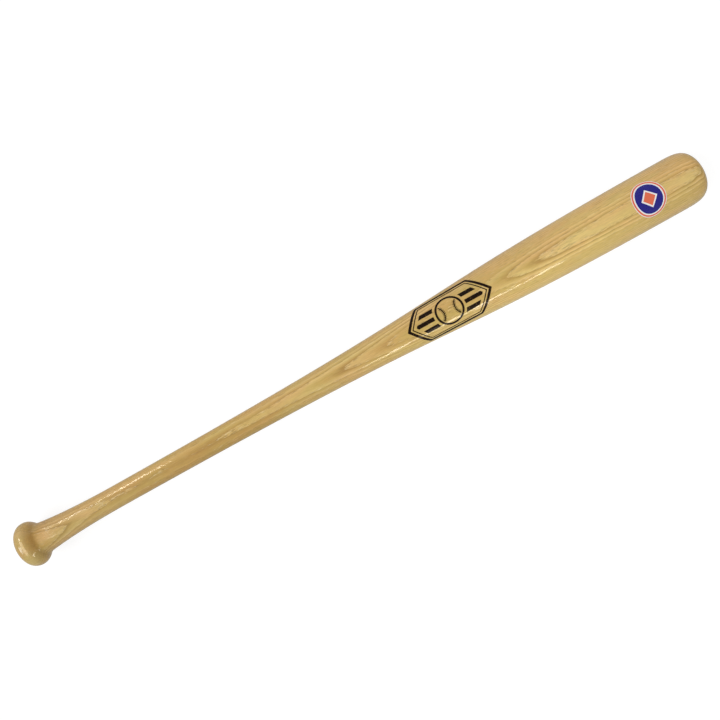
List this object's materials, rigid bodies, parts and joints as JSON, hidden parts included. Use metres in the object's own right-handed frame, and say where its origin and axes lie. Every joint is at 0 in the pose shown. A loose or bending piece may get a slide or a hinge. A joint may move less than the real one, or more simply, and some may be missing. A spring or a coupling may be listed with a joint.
{
  "type": "baseball bat",
  "caption": "Full-size turned ash baseball bat with a rounded knob, slim flared handle, long taper and domed barrel, a foil mark on the taper and a round decal on the barrel.",
  "frame": {"origin": "middle of the small flat face on the end of the knob, on the bat's axis", "axes": "+X along the bat from the knob to the barrel's tip, +Z out of the marked side of the bat"},
  "size_m": [0.864, 0.0618, 0.0623],
  "materials": {
    "lacquered_ash": "clear gloss lacquer",
    "black_foil": "hot-stamped black foil under lacquer",
    "decal_white": "white printed film",
    "decal_orange": "orange print on film",
    "decal_blue": "blue print on film"
  },
  "bodies": {
    "root": {"turned_billet": "lacquered_ash", "stamp_border": "black_foil", "stamp_inner_line": "black_foil", "stamp_ball": "black_foil", "stamp_seam_knob_side": "black_foil", "stamp_seam_tip_side": "black_foil", "stamp_stripe_knob_side_1": "black_foil", "stamp_stripe_knob_side_2": "black_foil", "stamp_stripe_knob_side_3": "black_foil", "stamp_stripe_tip_side_1": "black_foil", "stamp_stripe_tip_side_2": "black_foil", "stamp_stripe_tip_side_3": "black_foil", "decal_film": "decal_white", "decal_rim": "decal_orange", "decal_field": "decal_blue", "decal_diamond": "decal_orange"}
  },
  "joints": []
}
